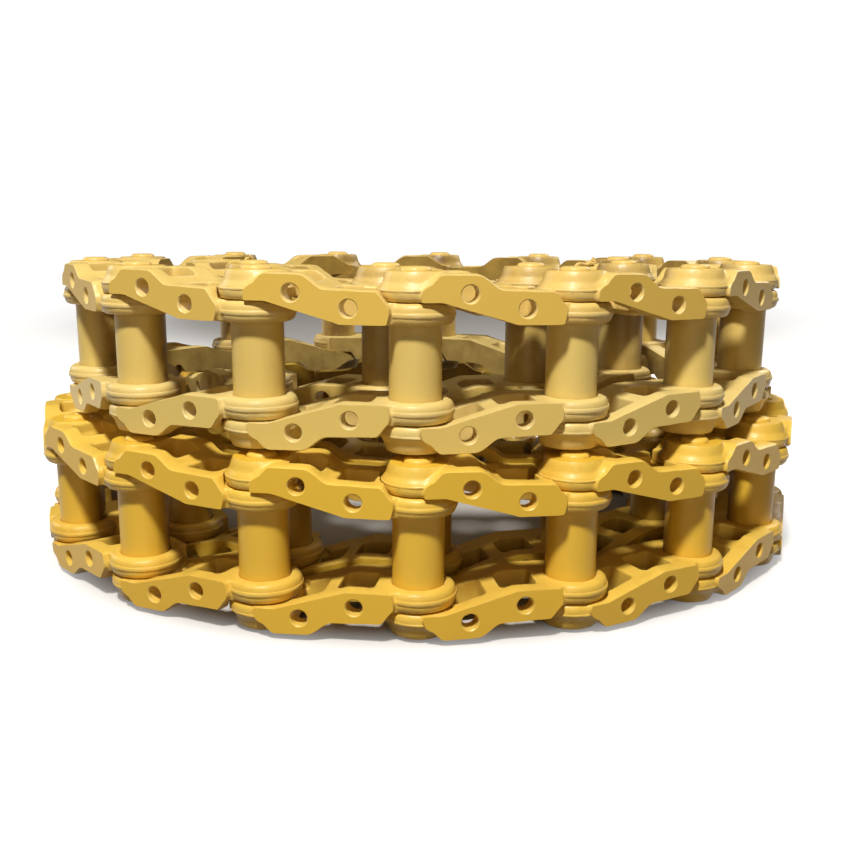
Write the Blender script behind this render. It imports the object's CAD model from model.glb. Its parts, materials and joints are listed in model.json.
import bpy
import bmesh
import json
import math
from mathutils import Matrix, Vector, noise

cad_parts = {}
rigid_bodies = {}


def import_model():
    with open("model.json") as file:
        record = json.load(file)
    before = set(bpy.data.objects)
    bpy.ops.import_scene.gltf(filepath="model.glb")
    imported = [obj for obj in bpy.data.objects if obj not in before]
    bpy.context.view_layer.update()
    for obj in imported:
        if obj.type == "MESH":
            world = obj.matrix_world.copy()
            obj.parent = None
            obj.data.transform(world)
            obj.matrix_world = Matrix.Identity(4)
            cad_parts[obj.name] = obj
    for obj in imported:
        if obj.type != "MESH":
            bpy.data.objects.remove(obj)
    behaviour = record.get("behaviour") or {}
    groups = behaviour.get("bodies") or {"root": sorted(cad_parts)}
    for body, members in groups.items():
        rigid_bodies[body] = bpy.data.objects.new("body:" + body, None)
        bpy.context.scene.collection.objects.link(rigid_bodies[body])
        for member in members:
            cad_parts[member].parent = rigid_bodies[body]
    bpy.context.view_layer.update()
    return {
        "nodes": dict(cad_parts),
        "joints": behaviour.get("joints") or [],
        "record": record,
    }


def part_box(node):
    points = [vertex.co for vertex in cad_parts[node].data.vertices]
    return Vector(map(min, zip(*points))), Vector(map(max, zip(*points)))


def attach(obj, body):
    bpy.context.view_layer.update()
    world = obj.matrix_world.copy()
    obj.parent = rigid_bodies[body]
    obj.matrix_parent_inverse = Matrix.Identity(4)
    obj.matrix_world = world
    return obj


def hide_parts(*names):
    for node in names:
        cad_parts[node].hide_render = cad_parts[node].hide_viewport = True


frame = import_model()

scene = bpy.context.scene
scene.view_settings.view_transform = "Standard"
print("frame loaded:", len(frame["nodes"]), "nodes")

# camera

cameraSet = {
    "place": (-0.2540, -1.5169, 0.4798),
    "yaw": 9.608, "pitch": 11.700, "roll": 0.355,
    "lens": 40.02,
}
cameraData = bpy.data.cameras.new("camera")
cameraData.sensor_width = 36.0
cameraData.lens = cameraSet["lens"]
cameraData.clip_end = 60.0
camera = bpy.data.objects.new("camera", cameraData)
camera.matrix_world = (
    Matrix.Translation(cameraSet["place"])
    @ Matrix.Rotation(math.radians(-cameraSet["yaw"]), 4, "Z")
    @ Matrix.Rotation(math.radians(90 - cameraSet["pitch"]), 4, "X")
    @ Matrix.Rotation(math.radians(cameraSet["roll"]), 4, "Z")
)
scene.collection.objects.link(camera)
scene.camera = camera

# stage: pale floor, soft lamps, white sky for the camera

stageSet = {
    "floorSize": 14.0, "floorDrop": 0.0004,
    "floorColour": (0.52, 0.50, 0.47), "bounceColour": (0.06, 0.05, 0.04),
    "skyLight": 0.05, "skyColour": (1.0, 0.78, 0.52),
    "under": {"centre": (0, 0, 0), "turn": 0, "reach": (0.60, 0.52, 1), "edge": (0.85, 1.08), "least": 0.0},
    "behind": {"centre": (0.638, 3.75, 0), "turn": -9.6, "reach": (2.0, 2.4, 1), "edge": (0.55, 1.0),
               "least": 0.10},
    "far": {"centre": (0.680, 4.005, 0), "turn": -9.6, "reach": (1.5, 4.2, 1), "edge": (1.1, 1.8),
            "least": 0.0},
    "nearGlow": 0.74, "farGlow": 0.28,
}
lampSet = {
    "key": {"from": (-0.80, -2.12, 3.25), "aim": (0.0, -0.35, 0.25), "size": 0.42, "power": 166,
            "colour": (1.0, 0.98, 0.95)},
    "front": {"from": (-0.45, -3.7, 0.95), "aim": (0.0, 0.0, 0.22), "size": 1.6, "power": 15,
              "colour": (1.0, 0.78, 0.52)},
    "rim": {"from": (2.6, 1.8, 2.2), "aim": (0.0, 0.2, 0.25), "size": 1.6, "power": 40,
            "colour": (1.0, 0.97, 0.93)},
    "back": {"from": (-2.8, 1.9, 1.6), "aim": (0.0, 0.2, 0.22), "size": 1.6, "power": 26,
             "colour": (1.0, 0.97, 0.93)},
}


def addNode(tree, kind, **values):
    node = tree.nodes.new(kind)
    for key, value in values.items():
        setattr(node, key, value)
    return node


def seenDirectly(tree):
    # 1 for what the camera sees straight or in a reflection
    rays = addNode(tree, "ShaderNodeLightPath")
    first = addNode(tree, "ShaderNodeMath", operation="MAXIMUM")
    second = addNode(tree, "ShaderNodeMath", operation="MAXIMUM")
    tree.links.new(rays.outputs["Is Camera Ray"], first.inputs[0])
    tree.links.new(rays.outputs["Is Glossy Ray"], first.inputs[1])
    tree.links.new(first.outputs[0], second.inputs[0])
    tree.links.new(rays.outputs["Is Transmission Ray"], second.inputs[1])
    return second.outputs[0]


def makeFloor():
    material = bpy.data.materials.new("stageFloor")
    material.use_nodes = True
    tree = material.node_tree
    tree.nodes.clear()
    # plain under the object and in a soft patch behind it, white for the camera elsewhere
    place = addNode(tree, "ShaderNodeTexCoord")

    def outside(area, level):
        around = addNode(tree, "ShaderNodeMapping", vector_type="TEXTURE")
        around.inputs["Location"].default_value = area["centre"]
        around.inputs["Rotation"].default_value = (0, 0, math.radians(area["turn"]))
        around.inputs["Scale"].default_value = area["reach"]
        reach = addNode(tree, "ShaderNodeVectorMath", operation="LENGTH")
        ramp = addNode(tree, "ShaderNodeMapRange", interpolation_type="SMOOTHSTEP")
        ramp.inputs["From Min"].default_value, ramp.inputs["From Max"].default_value = area["edge"]
        ramp.inputs["To Min"].default_value, ramp.inputs["To Max"].default_value = area["least"], level
        tree.links.new(place.outputs["Object"], around.inputs["Vector"])
        tree.links.new(around.outputs["Vector"], reach.inputs[0])
        tree.links.new(reach.outputs["Value"], ramp.inputs["Value"])
        return ramp.outputs["Result"]

    near = addNode(tree, "ShaderNodeMath", operation="MINIMUM")
    tree.links.new(outside(stageSet["under"], stageSet["nearGlow"]), near.inputs[0])
    tree.links.new(outside(stageSet["behind"], stageSet["nearGlow"]), near.inputs[1])
    total = addNode(tree, "ShaderNodeMath", operation="ADD")
    tree.links.new(near.outputs[0], total.inputs[0])
    tree.links.new(outside(stageSet["far"], stageSet["farGlow"]), total.inputs[1])
    pale = addNode(tree, "ShaderNodeBsdfDiffuse")
    pale.inputs["Color"].default_value = (*stageSet["floorColour"], 1)
    glow = addNode(tree, "ShaderNodeEmission")
    dim = addNode(tree, "ShaderNodeBsdfDiffuse")
    dim.inputs["Color"].default_value = (*stageSet["bounceColour"], 1)
    lifted = addNode(tree, "ShaderNodeAddShader")
    mix = addNode(tree, "ShaderNodeMixShader")
    out = addNode(tree, "ShaderNodeOutputMaterial")
    tree.links.new(total.outputs[0], glow.inputs["Strength"])
    tree.links.new(pale.outputs[0], lifted.inputs[0])
    tree.links.new(glow.outputs[0], lifted.inputs[1])
    tree.links.new(seenDirectly(tree), mix.inputs[0])
    tree.links.new(dim.outputs[0], mix.inputs[1])
    tree.links.new(lifted.outputs[0], mix.inputs[2])
    tree.links.new(mix.outputs[0], out.inputs["Surface"])
    bm = bmesh.new()
    bmesh.ops.create_grid(bm, x_segments=2, y_segments=2, size=stageSet["floorSize"])
    bmesh.ops.translate(bm, vec=(0, 0, -stageSet["floorDrop"]), verts=bm.verts)
    mesh = bpy.data.meshes.new("floor")
    bm.to_mesh(mesh)
    bm.free()
    mesh.materials.append(material)
    floor = bpy.data.objects.new("floor", mesh)
    scene.collection.objects.link(floor)


def makeSky():
    world = bpy.data.worlds.new("studioSky")
    scene.world = world
    world.use_nodes = True
    tree = world.node_tree
    tree.nodes.clear()
    white = addNode(tree, "ShaderNodeBackground")
    white.inputs["Color"].default_value = (1, 1, 1, 1)
    white.inputs["Strength"].default_value = 1.0
    soft = addNode(tree, "ShaderNodeBackground")
    soft.inputs["Color"].default_value = (*stageSet["skyColour"], 1)
    soft.inputs["Strength"].default_value = stageSet["skyLight"]
    mix = addNode(tree, "ShaderNodeMixShader")
    out = addNode(tree, "ShaderNodeOutputWorld")
    rays = addNode(tree, "ShaderNodeLightPath")
    tree.links.new(rays.outputs["Is Camera Ray"], mix.inputs[0])
    tree.links.new(soft.outputs[0], mix.inputs[1])
    tree.links.new(white.outputs[0], mix.inputs[2])
    tree.links.new(mix.outputs[0], out.inputs["Surface"])


def makeLamp(name, values):
    lamp = bpy.data.lights.new(name, "AREA")
    lamp.shape = "DISK"
    lamp.size = values["size"]
    lamp.energy = values["power"]
    lamp.color = values["colour"]
    lampObject = bpy.data.objects.new(name, lamp)
    look = Vector(values["aim"]) - Vector(values["from"])
    turned = look.to_track_quat("-Z", "Y").to_matrix().to_4x4()
    lampObject.matrix_world = Matrix.Translation(values["from"]) @ turned
    scene.collection.objects.link(lampObject)


makeFloor()
makeSky()
for lampName, lampValues in lampSet.items():
    makeLamp(lampName, lampValues)
print("stage set")

# mesh helpers, all in millimetres until a piece is placed

metre = 0.001
seamGap = 1e-4


def prism(points, low, high, along="Z"):
    # closed outline pushed along an axis
    bm = bmesh.new()
    if along == "Z":
        verts = [bm.verts.new((a, b, low)) for a, b in points]
        push = (0, 0, high - low)
    else:
        verts = [bm.verts.new((a, low, b)) for a, b in points]
        push = (0, high - low, 0)
    face = bm.faces.new(verts)
    grown = bmesh.ops.extrude_face_region(bm, geom=[face])
    moved = [g for g in grown["geom"] if isinstance(g, bmesh.types.BMVert)]
    bmesh.ops.translate(bm, vec=push, verts=moved)
    bmesh.ops.recalc_face_normals(bm, faces=bm.faces)
    return bm


def turnedShape(profile, steps, at=(0, 0, 0), along="Z"):
    # profile of (radius, height) spun all round
    bm = bmesh.new()
    verts = [bm.verts.new((r, 0, z)) for r, z in profile]
    for a, b in zip(verts, verts[1:]):
        bm.edges.new((a, b))
    if profile[0][0] > 0:
        bm.edges.new((verts[-1], verts[0]))
    bmesh.ops.spin(bm, geom=bm.verts[:] + bm.edges[:], cent=(0, 0, 0), axis=(0, 0, 1),
                   angle=2 * math.pi, steps=steps, use_merge=True)
    bmesh.ops.remove_doubles(bm, verts=bm.verts, dist=seamGap)
    bmesh.ops.recalc_face_normals(bm, faces=bm.faces)
    if along == "Y":
        quarter = Matrix.Rotation(math.radians(90), 3, "X")
        bmesh.ops.rotate(bm, verts=bm.verts, cent=(0, 0, 0), matrix=quarter)
    bmesh.ops.translate(bm, vec=at, verts=bm.verts)
    return bm


def meshOf(bm, name):
    mesh = bpy.data.meshes.new(name)
    bm.to_mesh(mesh)
    bm.free()
    return mesh


def helperObject(mesh):
    helper = bpy.data.objects.new("helper", mesh)
    scene.collection.objects.link(helper)
    return helper


def finished(helper, others=()):
    # result of the helper's modifiers as a bmesh; the helpers go
    depsgraph = bpy.context.evaluated_depsgraph_get()
    result = bpy.data.meshes.new_from_object(helper.evaluated_get(depsgraph))
    bm = bmesh.new()
    bm.from_mesh(result)
    bpy.data.meshes.remove(result)
    for item in (helper, *others):
        data = item.data
        bpy.data.objects.remove(item)
        bpy.data.meshes.remove(data)
    return bm


def combine(bm, operation, *tools):
    base = helperObject(meshOf(bm, "base"))
    helpers = []
    for tool in tools:
        other = helperObject(meshOf(tool, "tool"))
        helpers.append(other)
        boolean = base.modifiers.new("combine", "BOOLEAN")
        boolean.operation = operation
        boolean.solver = "EXACT"
        boolean.object = other
    return finished(base, helpers)


# forged link

linkSet = {
    "pitch": 190.0, "shoe": 48.0, "rail": 52.0, "stock": 2.0,
    "innerLow": 44.0, "innerTop": 70.0, "outerFloor": 70.8, "outerTop": 104.5, "bodyTop": 103.0,
    "blankTop": 106.0, "blankFront": -50.0, "blankBack": 56.0, "cutLow": 30.0, "cutHigh": 130.0,
    "padEdge": 2.5, "padCrownInset": 1.4, "padBack": -38.0,
    "discRoom": 47.5, "bossRoom": 45.5, "railSweep": 55.2, "roomLow": 20.0,
    "boltFirst": 54.5, "boltSecond": 121.0, "boltWide": 80.5, "boltNarrow": 63.7, "boltRadius": 10.0,
    "pinBore": 18.35, "bushingBore": 31.35, "pocket": 32.75, "pocketFloor": 79.0,
    "windows": ((40.0, 79.0), (96.5, 141.0)), "windowLow": -26.0, "windowHigh": 22.0, "windowCorner": 6.0,
    "voxel": 1.7, "soften": 5, "faces": 11500, "weld": 0.02,
    "dents": ((0.045, 0.55), (0.16, 0.18)),
    "bossSteps": 64, "ridgeSteps": 72, "boreSteps": 48, "boltSteps": 32, "shoulderSteps": 8,
}


def shoulder(x0, x1, z0, z1):
    # step from the outer to the inner level
    count = linkSet["shoulderSteps"]
    steps = [i / count for i in range(count + 1)]
    return [(x0 + (x1 - x0) * u, z0 + (z1 - z0) * (1 - math.cos(math.pi * u)) / 2) for u in steps]


def padOutline(s, inset):
    # the cutter leaves an uneven edge where it runs out at the pin end
    floor, top = s["outerFloor"], s["bodyTop"] - 0.5 - inset
    points = [
        (-1.5, floor), (-1.5, 77), (1, 85), (6, 88.5), (11.5, 91), (14, 94.5), (17, 97), (19.5, 100), (24, top),
    ]
    points += shoulder(62.75 - inset * 0.5, 94.75 - inset * 0.5, top, 85.5 - inset)
    points += [
        (154 - inset, 83.5 - inset), (168.5 - inset, 64), (168.5 - inset, 58), (164.5, 45.5), (111, 45.5),
        (24, floor),
    ]
    return points


def halfRoom(radius, low, high, x):
    # room for a neighbour's rail end, on the rail side only
    room = turnedShape([(0, low), (radius, low), (radius, high), (0, high)], linkSet["bossSteps"], (x, 0, 0))
    half = bmesh.ops.bisect_plane(room, geom=room.verts[:] + room.edges[:] + room.faces[:],
                                  plane_co=(0, 0, 0), plane_no=(0, -1, 0), clear_outer=True)
    bmesh.ops.holes_fill(room, edges=[e for e in half["geom_cut"] if isinstance(e, bmesh.types.BMEdge)])
    bmesh.ops.recalc_face_normals(room, faces=room.faces)
    return room


def linkForging(s):
    floor, body, steps = s["outerFloor"], s["bodyTop"], s["bossSteps"]
    innerLow, innerTop, roomLow, cutHigh = s["innerLow"], s["innerTop"], s["roomLow"], s["cutHigh"]
    bushingEnd = (s["pitch"], 0, 0)
    sideOutline = [
        (2, -41), (170, -41), (190, -20), (228, 14), (206, 44), (202, 54),
        (-12, 54), (-16, 44), (-38, 12), (-24, -24),
    ]
    planOutline = [(-60, floor), (-60, 84.8), (-4, 86.8), (24, body)] + shoulder(62.75, 94.75, body, 86)
    planOutline += [(154, 84), (163.5, innerTop), (250, innerTop), (250, 44.8), (110, 44.8), (22, floor)]
    forging = combine(prism(sideOutline, innerLow, s["blankTop"]), "INTERSECT",
                      prism(planOutline, s["blankFront"], s["blankBack"], "Y"))
    windows = []
    for x0, x1 in s["windows"]:
        y0, y1 = s["windowLow"], s["windowHigh"]
        window = prism([(x0, y0), (x1, y0), (x1, y1), (x0, y1)], s["cutLow"], cutHigh)
        upright = [e for e in window.edges if abs(e.verts[0].co.z - e.verts[1].co.z) > 1]
        bmesh.ops.bevel(window, geom=upright, offset=s["windowCorner"], segments=3, profile=0.5,
                        affect="EDGES", material=-1)
        windows.append(window)
    forging = combine(forging, "DIFFERENCE", *windows)
    padBase = prism(padOutline(s, 0), -s["shoe"] + s["padEdge"], s["padBack"], "Y")
    padCrown = prism(padOutline(s, s["padCrownInset"]), -s["shoe"] - s["stock"], s["padBack"], "Y")
    forging = combine(forging, "UNION", padBase, padCrown)
    disc, boss = s["discRoom"], s["bossRoom"]
    discRoom = turnedShape([(0, roomLow), (disc, roomLow), (disc, floor), (0, floor)], steps)
    bossRoom = turnedShape([(0, innerTop), (boss, innerTop), (boss, cutHigh), (0, cutHigh)], steps, bushingEnd)
    forging = combine(forging, "DIFFERENCE", discRoom, bossRoom, halfRoom(s["railSweep"], roomLow, floor, 0),
                      halfRoom(s["railSweep"], innerTop, cutHigh, s["pitch"]))
    outerBoss = turnedShape([
        (0, floor), (40, floor), (42.6, 73), (43.9, 76.5), (44.3, 80), (44, 83), (42.6, 87), (39.8, 90),
        (38.2, 93), (37, 99), (35.2, 103), (33.5, 106.5), (0, 106.5)], steps)
    innerBoss = turnedShape([
        (0, innerLow), (39, innerLow), (43.5, 46.2), (45.6, 50.5), (46, 57), (45.6, 63.5), (43.5, 67.8),
        (39, innerTop), (0, innerTop)], steps, bushingEnd)
    return combine(forging, "UNION", outerBoss, innerBoss)


def softened(bm, s):
    # forging dies leave every edge round
    helper = helperObject(meshOf(bm, "forging"))
    remesh = helper.modifiers.new("skin", "REMESH")
    remesh.mode = "VOXEL"
    remesh.voxel_size = s["voxel"]
    smooth = helper.modifiers.new("round", "SMOOTH")
    smooth.factor = 0.5
    smooth.iterations = s["soften"]
    return finished(helper)


def partingRidges(s):
    # raised lands that the dies leave round both bosses
    steps = s["ridgeSteps"]
    outer = turnedShape([(38, 81.4), (44.0, 81.6), (44.5, 82.4), (44.5, 84.0), (43.8, 84.8), (38, 85)], steps)
    inner = turnedShape([(42, 53.2), (46.4, 53.4), (47, 54.2), (47, 58.2), (46.4, 59), (42, 59.2)], steps,
                        (s["pitch"], 0, 0))
    return outer, inner


def flatCut(bm, point, outward):
    cut = bmesh.ops.bisect_plane(bm, geom=bm.verts[:] + bm.edges[:] + bm.faces[:], dist=seamGap,
                                 plane_co=point, plane_no=outward, clear_outer=True)
    rim = [e for e in cut["geom_cut"] if isinstance(e, bmesh.types.BMEdge) and e.is_boundary]
    bmesh.ops.triangle_fill(bm, edges=rim, use_beauty=True, normal=outward)


def machiningTools(s):
    bore, pocket, floor, top = s["pinBore"], s["pocket"], s["pocketFloor"], s["outerTop"]
    pinBore = turnedShape([
        (0, 60), (pocket, 60), (pocket, floor), (bore, floor), (bore, top - 1.8), (bore + 2.2, top + 0.4),
        (bore + 2.2, top + 6), (0, top + 6)], s["boreSteps"])
    seat, steps, bushingEnd = s["bushingBore"], s["bossSteps"], (s["pitch"], 0, 0)
    bushingBore = turnedShape([
        (0, 40), (seat + 1.8, 40), (seat + 1.8, 44), (seat, 45.8), (seat, 74), (0, 74)], steps, bushingEnd)
    # turned faces of the bosses, which leave the side play
    disc, boss, outerFloor, innerTop = s["discRoom"], s["bossRoom"], s["outerFloor"], s["innerTop"]
    outerFace = turnedShape([(0, 40), (disc, 40), (disc, outerFloor), (0, outerFloor)], steps)
    innerFace = turnedShape([(0, innerTop), (boss, innerTop), (boss, 90), (0, 90)], steps, bushingEnd)
    bolts = []
    for x, z in ((s["boltFirst"], s["boltWide"]), (s["boltSecond"], s["boltNarrow"])):
        r = s["boltRadius"]
        bolts.append(turnedShape([
            (0, -2), (r, -2), (r, 20.2), (r + 1.8, 22), (r + 1.8, 26), (0, 26)], s["boltSteps"],
            (x, -s["shoe"] + 22 - 0.4, z), "Y"))
    return [pinBore, bushingBore, outerFace, innerFace, *bolts]


def linkMesh(s):
    bm = softened(linkForging(s), s)
    for v in bm.verts:
        v.co += v.normal * sum(noise.noise(v.co * scale) * depth for scale, depth in s["dents"])
    bm = combine(bm, "UNION", *partingRidges(s))
    helper = helperObject(meshOf(bm, "thin"))
    thin = helper.modifiers.new("thin", "DECIMATE")
    thin.ratio = s["faces"] / max(1, sum(len(p.vertices) - 2 for p in helper.data.polygons))
    bm = finished(helper)
    flatCut(bm, (0, -s["shoe"], 0), (0, -1, 0))
    flatCut(bm, (0, s["rail"], 0), (0, 1, 0))
    flatCut(bm, (0, 0, s["outerTop"]), (0, 0, 1))
    bm = combine(bm, "DIFFERENCE", *machiningTools(s))
    bmesh.ops.remove_doubles(bm, verts=bm.verts, dist=s["weld"])
    bmesh.ops.triangulate(bm, faces=[f for f in bm.faces if len(f.verts) > 4])
    markSurface(bm, s)
    return bm


wearSet = {
    "bendFrom": 0.3, "bendOver": 0.7, "insideFrom": 4.0, "insideOver": 20.0,
    "flatFacing": 0.99, "flatReach": 0.15, "spotScale": 0.01,
}


def markSurface(bm, s):
    # machined faces, worn edges and sides that face into the roll, for the paint
    w = wearSet
    machined = bm.loops.layers.float.new("machined")
    edgeWear = bm.loops.layers.float.new("edgeWear")
    inside = bm.verts.layers.float.new("inside")
    spot = bm.loops.layers.uv.new("spot")
    bm.normal_update()
    worn = {}
    for v in bm.verts:
        bends = [e.calc_face_angle_signed(0.0) for e in v.link_edges]
        worn[v] = max(0.0, min(1.0, (max(bends) - w["bendFrom"]) / w["bendOver"])) if bends else 0.0
        depth = max(0.0, min(1.0, (v.co.y - w["insideFrom"]) / w["insideOver"]))
        v[inside] = max(0.0, v.normal.y) * depth
    for face in bm.faces:
        centre, normal = face.calc_center_median(), face.normal
        facing, reach = w["flatFacing"], w["flatReach"]
        flat = (
            (normal.y < -facing and abs(centre.y + s["shoe"]) < reach)
            or (normal.y > facing and abs(centre.y - s["rail"]) < reach)
            or (normal.z > facing and abs(centre.z - s["outerTop"]) < reach)
        )
        for loop in face.loops:
            loop[machined] = 1.0 if flat else 0.0
            loop[edgeWear] = 0.0 if flat else worn[loop.vert]
            loop[spot].uv = (loop.vert.co.x * w["spotScale"], loop.vert.co.z * w["spotScale"])


linkTop = linkMesh(linkSet)
print("link:", len(linkTop.faces), "faces")

# bushing, pin and seals

bushingSet = {"radius": 31.25, "bore": 18.55, "half": 73.8, "steps": 56, "machined": 0.85, "missed": 1.3}
pinSet = {"radius": 18.25, "half": 109.5, "steps": 40}
sealSet = {"inner": 18.65, "outer": 32.45, "low": 74.2, "high": 78.8, "steps": 40}


def bushingMesh(s):
    r, b, h = s["radius"], s["bore"], s["half"]
    half = [(b + 1, h), (r - 2.4, h), (r - 0.7, h - 0.7), (r, h - 2.4), (r, 40), (r, 14)]
    profile = [(b, h - 1)] + half + [(x, -z) for x, z in reversed(half)] + [(b, 1 - h)]
    bm = turnedShape(profile, s["steps"], (linkSet["pitch"], 0, 0))
    machined = bm.loops.layers.float.new("machined")
    inside = bm.verts.layers.float.new("inside")
    for v in bm.verts:
        v[inside] = max(0.0, min(1.0, s["missed"] * v.co.y / r))
        for loop in v.link_loops:
            loop[machined] = s["machined"]
    return bm


def pinMesh(s):
    r, h = s["radius"], s["half"]
    # a centre drilled in the end, then the rounded rim
    top = [
        (0, h - 5), (3, h - 1.6), (4.4, h), (r - 5, h), (r - 2.2, h - 0.8), (r - 0.6, h - 2.4), (r, h - 4.6),
        (r, 60),
    ]
    profile = top + [(x, -z) for x, z in reversed(top)]
    return turnedShape(profile, s["steps"])


def sealMesh(s):
    a, b, low, high = s["inner"], s["outer"], s["low"], s["high"]
    return turnedShape([(a, low + 1), (b - 4, low), (b, low), (b, high), (a, high)], s["steps"])


bushingShape, pinShape, sealShape = bushingMesh(bushingSet), pinMesh(pinSet), sealMesh(sealSet)

# paint

paintSet = {
    "lower": {"colour": (0.755, 0.475, 0.042), "tint": (0.765, 0.475, 0.046), "deep": (0.49, 0.235, 0.013),
              "pale": (0.81, 0.575, 0.135), "inside": (0.085, 0.034, 0.006)},
    "upper": {"colour": (0.735, 0.485, 0.084), "tint": (0.715, 0.535, 0.155), "deep": (0.53, 0.310, 0.045),
              "pale": (0.76, 0.61, 0.28), "inside": (0.125, 0.058, 0.014)},
}
patternSet = {
    "drift": {"scale": 7.0, "detail": 3, "rough": 0.55, "from": (0.40, 0.70), "to": (0.0, 0.22)},
    "smear": {"scale": 38.0, "detail": 6, "rough": 0.65, "from": (0.56, 0.76), "to": (0.0, 0.34)},
    "edge": {"scale": 60.0, "detail": 4, "rough": 0.55, "from": (0.40, 0.62), "to": (0.25, 0.85)},
    "missed": {"scale": 24.0, "detail": 4, "rough": 0.55, "from": (0.35, 0.65), "to": (0.62, 0.92)},
    "gloss": {"scale": 95.0, "detail": 5, "rough": 0.55, "from": (0.3, 0.7), "to": (0.36, 0.50)},
    "skin": {"scale": 170.0, "detail": 5, "rough": 0.6, "height": 0.7},
    "waves": {"scale": 34.0, "detail": 3, "rough": 0.55, "height": 1.1},
    "dust": {"scale": 150.0, "detail": 3, "rough": 0.55, "height": 0.10},
}
coatSet = {
    "forgedPale": 0.38, "machinedDrift": 0.3, "machinedRough": 0.44,
    "millScale": 11.0, "millWander": 0.6, "millHeight": 0.07,
    "bump": 0.35, "bumpDepth": 0.0012, "specular": 0.35, "coat": 0.08, "coatRough": 0.3,
}
rubberSet = {"colour": (0.02, 0.02, 0.02), "grain": 240.0, "rough": (0.55, 0.8)}


def paintGroup():
    group = bpy.data.node_groups.new("paintedForging", "ShaderNodeTree")
    for name in ("Colour", "Tint", "Deep", "Pale", "Inside"):
        group.interface.new_socket(name=name, in_out="INPUT", socket_type="NodeSocketColor")
    results = (("Colour", "NodeSocketColor"), ("Roughness", "NodeSocketFloat"), ("Height", "NodeSocketFloat"))
    for name, kind in results:
        group.interface.new_socket(name=name, in_out="OUTPUT", socket_type=kind)
    given = addNode(group, "NodeGroupInput")
    out = addNode(group, "NodeGroupOutput")
    place = addNode(group, "ShaderNodeTexCoord")
    machined = addNode(group, "ShaderNodeAttribute", attribute_name="machined")
    wear = addNode(group, "ShaderNodeAttribute", attribute_name="edgeWear")
    tone = addNode(group, "ShaderNodeAttribute", attribute_name="tone")
    inside = addNode(group, "ShaderNodeAttribute", attribute_name="inside")
    spot = addNode(group, "ShaderNodeUVMap", uv_map="spot")

    def pattern(name):
        tex = addNode(group, "ShaderNodeTexNoise")
        tex.inputs["Scale"].default_value = patternSet[name]["scale"]
        tex.inputs["Detail"].default_value = patternSet[name]["detail"]
        tex.inputs["Roughness"].default_value = patternSet[name]["rough"]
        group.links.new(place.outputs["Object"], tex.inputs["Vector"])
        return tex.outputs["Fac"]

    def ranged(value, a, b, c, d):
        node = addNode(group, "ShaderNodeMapRange")
        for index, number in enumerate((a, b, c, d)):
            node.inputs[index + 1].default_value = number
        group.links.new(value, node.inputs[0])
        return node.outputs[0]

    def maths(operation, a, b):
        node = addNode(group, "ShaderNodeMath", operation=operation)
        for index, item in enumerate((a, b)):
            if isinstance(item, (int, float)):
                node.inputs[index].default_value = item
            else:
                group.links.new(item, node.inputs[index])
        return node.outputs[0]

    def spread(name):
        return ranged(pattern(name), *patternSet[name]["from"], *patternSet[name]["to"])

    def relief(name):
        return maths("MULTIPLY", pattern(name), patternSet[name]["height"])

    def blend(factor, a, b):
        node = addNode(group, "ShaderNodeMix", data_type="RGBA")
        group.links.new(factor, node.inputs["Factor"])
        group.links.new(a, node.inputs["A"])
        group.links.new(b, node.inputs["B"])
        return node.outputs["Result"]

    # broad drift of the sprayed coat, runs in the hollows, thin paint on edges
    forged = maths("SUBTRACT", 1.0, machined.outputs["Fac"])
    calm = ranged(machined.outputs["Fac"], 0, 1, 1, coatSet["machinedDrift"])
    drift = maths("MULTIPLY", spread("drift"), calm)
    smear = maths("MULTIPLY", spread("smear"), forged)
    colour = blend(tone.outputs["Fac"], given.outputs["Colour"], given.outputs["Tint"])
    colour = blend(maths("MULTIPLY", forged, coatSet["forgedPale"]), colour, given.outputs["Pale"])
    colour = blend(drift, colour, given.outputs["Deep"])
    colour = blend(smear, colour, given.outputs["Deep"])
    edge = maths("MULTIPLY", wear.outputs["Fac"], spread("edge"))
    colour = blend(edge, colour, given.outputs["Pale"])
    # the gun hardly reached the sides that face into the roll
    missed = maths("MULTIPLY", inside.outputs["Fac"], spread("missed"))
    colour = blend(missed, colour, given.outputs["Inside"])
    group.links.new(colour, out.inputs["Colour"])
    roughForged = spread("gloss")
    roughness = addNode(group, "ShaderNodeMix", data_type="FLOAT")
    group.links.new(machined.outputs["Fac"], roughness.inputs["Factor"])
    group.links.new(roughForged, roughness.inputs["A"])
    roughness.inputs["B"].default_value = coatSet["machinedRough"]
    group.links.new(roughness.outputs["Result"], out.inputs["Roughness"])
    skin = maths("ADD", relief("skin"), relief("waves"))
    mill = addNode(group, "ShaderNodeTexWave", wave_type="BANDS", bands_direction="Y")
    mill.inputs["Scale"].default_value = coatSet["millScale"]
    mill.inputs["Distortion"].default_value = coatSet["millWander"]
    group.links.new(spot.outputs["UV"], mill.inputs["Vector"])
    milled = maths("ADD", maths("MULTIPLY", mill.outputs["Fac"], coatSet["millHeight"]), relief("dust"))
    height = addNode(group, "ShaderNodeMix", data_type="FLOAT")
    group.links.new(machined.outputs["Fac"], height.inputs["Factor"])
    group.links.new(skin, height.inputs["A"])
    group.links.new(milled, height.inputs["B"])
    group.links.new(height.outputs["Result"], out.inputs["Height"])
    return group


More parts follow.
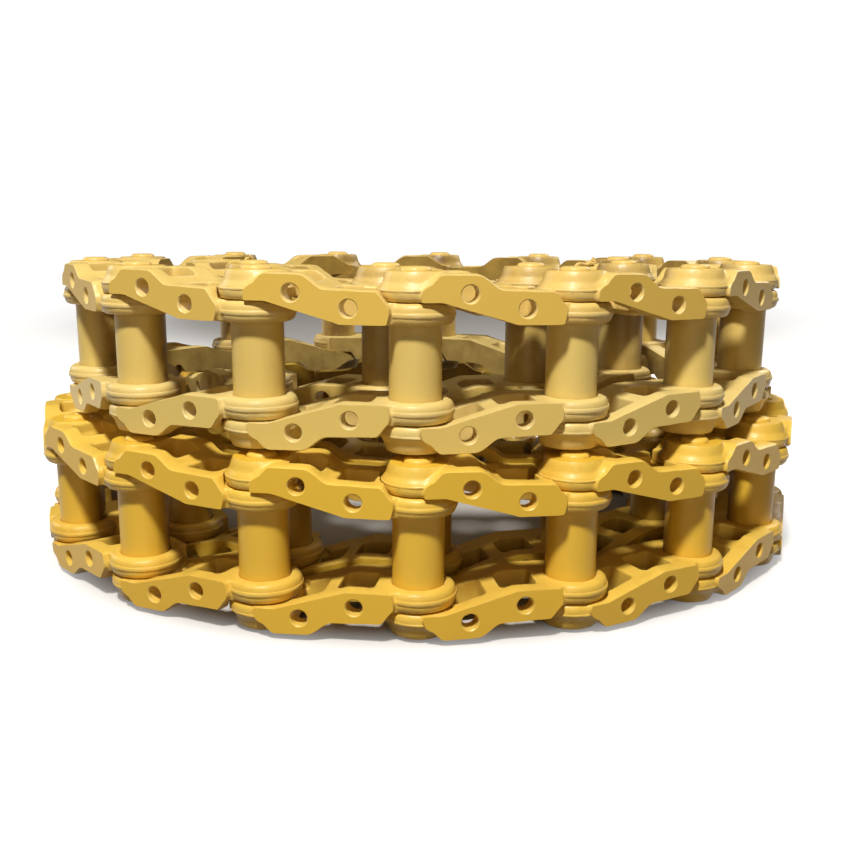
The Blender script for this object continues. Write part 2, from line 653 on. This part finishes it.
def paintMaterial(name, values, group):
    material = bpy.data.materials.new(name)
    material.use_nodes = True
    tree = material.node_tree
    shader = tree.nodes["Principled BSDF"]
    coat = addNode(tree, "ShaderNodeGroup", node_tree=group)
    for tone, rgb in values.items():
        coat.inputs[tone.capitalize()].default_value = (*rgb, 1)
    bump = addNode(tree, "ShaderNodeBump")
    bump.inputs["Strength"].default_value = coatSet["bump"]
    bump.inputs["Distance"].default_value = coatSet["bumpDepth"]
    tree.links.new(coat.outputs["Height"], bump.inputs["Height"])
    tree.links.new(coat.outputs["Colour"], shader.inputs["Base Color"])
    tree.links.new(coat.outputs["Roughness"], shader.inputs["Roughness"])
    tree.links.new(bump.outputs["Normal"], shader.inputs["Normal"])
    shader.inputs["Specular IOR Level"].default_value = coatSet["specular"]
    shader.inputs["Coat Weight"].default_value = coatSet["coat"]
    shader.inputs["Coat Roughness"].default_value = coatSet["coatRough"]
    return material


def rubberMaterial():
    material = bpy.data.materials.new("sealRubber")
    material.use_nodes = True
    tree = material.node_tree
    shader = tree.nodes["Principled BSDF"]
    place = addNode(tree, "ShaderNodeTexCoord")
    grain = addNode(tree, "ShaderNodeTexNoise")
    grain.inputs["Scale"].default_value = rubberSet["grain"]
    ramp = addNode(tree, "ShaderNodeMapRange")
    ramp.inputs["To Min"].default_value, ramp.inputs["To Max"].default_value = rubberSet["rough"]
    tree.links.new(place.outputs["Object"], grain.inputs["Vector"])
    tree.links.new(grain.outputs["Fac"], ramp.inputs[0])
    tree.links.new(ramp.outputs[0], shader.inputs["Roughness"])
    shader.inputs["Base Color"].default_value = (*rubberSet["colour"], 1)
    return material


coatGroup = paintGroup()
paints = {name: paintMaterial(name + "Paint", values, coatGroup) for name, values in paintSet.items()}
rubber = rubberMaterial()
print("paints mixed")

# sections on the chains

innerTurn = {"lower": 7, "upper": 6, "missed": 0.62}  # sections that the spray gun hardly reached in the roll
toneSet = {"top": 0.12, "bottom": 0.88, "bushing": 0.85, "spread": 0.25}
sharpFrom = 38  # degrees


def pinNumber(joint):
    # a hinge stands on the pin of the outer one of its two sections
    return max(int(joint[key].rsplit("_", 1)[1]) for key in ("parent", "child"))


def chainJoints(chain):
    joints = [j for j in frame["joints"] if j["type"] == "hinge" and j["child"].startswith(chain)]
    return sorted(joints, key=pinNumber)


def sectionPlaces(chain):
    # pin and heading of every section, inner end first
    joints = chainJoints(chain)
    pins = [Vector(j["pos_m"]) for j in joints]
    low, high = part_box(chain + "_end_bushing")
    last = (low + high) / 2
    last.z = pins[-1].z
    points = pins + [last]
    places = []
    for a, b in zip(points, points[1:]):
        places.append((a, math.atan2(b.y - a.y, b.x - a.x)))
    heading = places[0][1] - math.radians(joints[0]["range_deg"][1])
    step = linkSet["pitch"] * metre
    first = pins[0] - Vector((math.cos(heading), math.sin(heading), 0)) * step
    return [(first, heading)] + places


def sectionMatrix(pin, heading):
    return Matrix.Translation(pin) @ Matrix.Rotation(heading, 4, "Z") @ Matrix.Scale(metre, 4)


def copied(shape, matrix, flip=False, tone=0.0, missed=0.0):
    bm = shape.copy()
    toneLayer = bm.verts.layers.float.new("tone")
    insideLayer = bm.verts.layers.float.get("inside") or bm.verts.layers.float.new("inside")
    for v in bm.verts:
        v[toneLayer] = tone
        v[insideLayer] = max(v[insideLayer], missed * (1 - abs(v.normal.z)))
    if flip:
        bmesh.ops.scale(bm, vec=(1, 1, -1), verts=bm.verts)
        bmesh.ops.reverse_faces(bm, faces=bm.faces)
    bmesh.ops.transform(bm, matrix=matrix, verts=bm.verts)
    return bm


def joined(shapes, name):
    whole = bmesh.new()
    for shape in shapes:
        mesh = meshOf(shape, "part")
        whole.from_mesh(mesh)
        bpy.data.meshes.remove(mesh)
    return meshOf(whole, name)


def addPiece(name, mesh, material, body, nodes):
    mesh.materials.append(material)
    mesh.shade_smooth()
    mesh.set_sharp_from_angle(angle=math.radians(sharpFrom))
    piece = bpy.data.objects.new(name, mesh)
    scene.collection.objects.link(piece)
    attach(piece, body)
    if nodes:
        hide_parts(*nodes)
    return piece


def addSection(chain, number, pin, heading, nodes):
    matrix = sectionMatrix(pin, heading)
    body = "%s_%02d" % (chain, number)
    paint, slot = paints[chain], chain + "_paint"
    whole = [n for n in nodes if n.endswith("_%02d" % number)]

    def mine(ending):
        return whole or [n for n in nodes if ending in n]

    # no two links took the paint quite alike
    row = 0.4 if chain == "lower" else 7.3
    shift = [noise.noise(Vector((number * 1.7 + step * 9.1, row, 0.2))) for step in range(3)]
    topTone = toneSet["top"] + toneSet["spread"] * shift[0]
    bottomTone = toneSet["bottom"] + toneSet["spread"] * shift[1]
    bushTone = toneSet["bushing"] + toneSet["spread"] * shift[2]
    missed = innerTurn["missed"] if number <= innerTurn[chain] else 0.0
    topLink = copied(linkTop, matrix, False, topTone, missed)
    bottomLink = copied(linkTop, matrix, True, bottomTone, missed)
    links = joined([topLink, bottomLink], body + "_links")
    addPiece(body + "_links", links, paint, body, mine("_link"))
    bushing = joined([copied(bushingShape, matrix, False, bushTone, missed)], "bushing")
    addPiece(body + "_bushing", bushing, paint, body, mine("bushing"))
    if number > 1:
        addPiece(body + "_pin", joined([copied(pinShape, matrix)], "pin"), paint, body, mine("_pin"))
        rings = joined([copied(sealShape, matrix), copied(sealShape, matrix, True)], "seals")
        addPiece(body + "_seals", rings, rubber, body, mine("seals"))


bodyNodes = frame["record"]["behaviour"]["bodies"]
for chain in ("lower", "upper"):
    for index, (pin, heading) in enumerate(sectionPlaces(chain)):
        addSection(chain, index + 1, pin, heading, bodyNodes["%s_%02d" % (chain, index + 1)])
    print(chain, "chain:", index + 1, "sections")
for shape in (linkTop, bushingShape, pinShape, sealShape):
    shape.free()

# twists of binding wire left on two struts of the upper roll

wireSet = {
    "strands": 3, "radius": 1.7, "twist": 2.3, "turns": 5.0, "flatten": 0.35,
    "flareFrom": 0.86, "flare": 1.6, "stepsPerPoint": 6, "weld": 0.01, "strut": 0.088,
    "near": ((0.23, -0.28), (-0.30, -0.16)),
    "path": [(78.0, -4, 72), (77.5, -4, 90), (80, -3, 97), (86, -1, 101), (93, 2, 103.5), (102, 5, 104.5),
             (112, 8, 103.5), (122, 10, 103), (131, 11, 105), (137, 10, 108)],
}


def twistedWire(s, matrix):
    # strands wound round one path, each a smooth curve made a mesh
    strands = []
    path, fine = s["path"], s["stepsPerPoint"]
    count = fine * (len(path) - 1) + 1
    for strand in range(s["strands"]):
        curve = bpy.data.curves.new("strand", "CURVE")
        curve.dimensions = "3D"
        curve.bevel_depth = s["radius"]
        curve.bevel_resolution = 2
        curve.use_fill_caps = True
        spline = curve.splines.new("NURBS")
        spline.points.add(count - 1)
        for index in range(count):
            at = index / fine
            low = min(int(at), len(path) - 2)
            point = Vector(path[low]).lerp(Vector(path[low + 1]), at - low)
            wind = 2 * math.pi * (s["turns"] * index / count + strand / s["strands"])
            loose = max(0.0, index / count - s["flareFrom"]) / (1 - s["flareFrom"])
            grow = s["twist"] * (1 + s["flare"] * loose)
            point += Vector((s["flatten"] * math.cos(wind), math.cos(wind), math.sin(wind))) * grow
            spline.points[index].co = (*point, 1)
        spline.use_endpoint_u = True
        holder = bpy.data.objects.new("strand", curve)
        scene.collection.objects.link(holder)
        depsgraph = bpy.context.evaluated_depsgraph_get()
        mesh = bpy.data.meshes.new_from_object(holder.evaluated_get(depsgraph))
        bm = bmesh.new()
        bm.from_mesh(mesh)
        bmesh.ops.remove_doubles(bm, verts=bm.verts, dist=s["weld"])
        bmesh.ops.recalc_face_normals(bm, faces=bm.faces)
        bmesh.ops.transform(bm, matrix=matrix, verts=bm.verts)
        strands.append(bm)
        bpy.data.meshes.remove(mesh)
        bpy.data.objects.remove(holder)
        bpy.data.curves.remove(curve)
    return strands


def strutAway(place, spot):
    # distance of a section's middle strut from a spot on the floor plan
    pin, heading = place
    strut = pin + Vector((math.cos(heading), math.sin(heading), 0)) * wireSet["strut"]
    return math.hypot(strut.x - spot[0], strut.y - spot[1])


upperPlaces = sectionPlaces("upper")
for index, spot in enumerate(wireSet["near"]):
    away = [strutAway(place, spot) for place in upperPlaces]
    number = away.index(min(away))
    body = "upper_%02d" % (number + 1)
    wire = joined(twistedWire(wireSet, sectionMatrix(*upperPlaces[number])), "tieWire")
    addPiece("tieWire_%d" % (index + 1), wire, paints["upper"], body, [])
    print("tie wire on", body)
